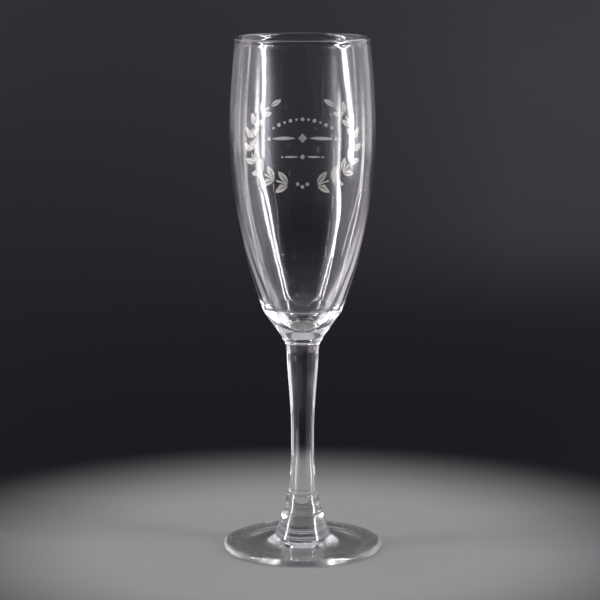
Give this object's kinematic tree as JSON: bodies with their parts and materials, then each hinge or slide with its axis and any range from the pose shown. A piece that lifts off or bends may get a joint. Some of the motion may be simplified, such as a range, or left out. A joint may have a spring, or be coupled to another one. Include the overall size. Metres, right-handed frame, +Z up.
{
  "type": "champagne flute",
  "caption": "Stemmed glass flute with a tall tapering bowl, drawn stem, disc foot and a leaf wreath printed in white enamel on the bowl.",
  "frame": {"origin": "centre of the foot's bearing ring, on the surface that the glass stands on", "axes": "+Z up along the axis of the glass; the printed side faces +Y"},
  "size_m": [0.062, 0.062, 0.2],
  "materials": {
    "clear_glass": "fire-polished clear soda-lime glass",
    "enamel": "semi-matte fired enamel"
  },
  "bodies": {
    "root": {"bowl": "clear_glass", "stem": "clear_glass", "foot": "clear_glass", "print_vines": "enamel", "print_leaves": "enamel", "print_berries": "enamel", "print_ornament": "enamel"}
  },
  "joints": []
}
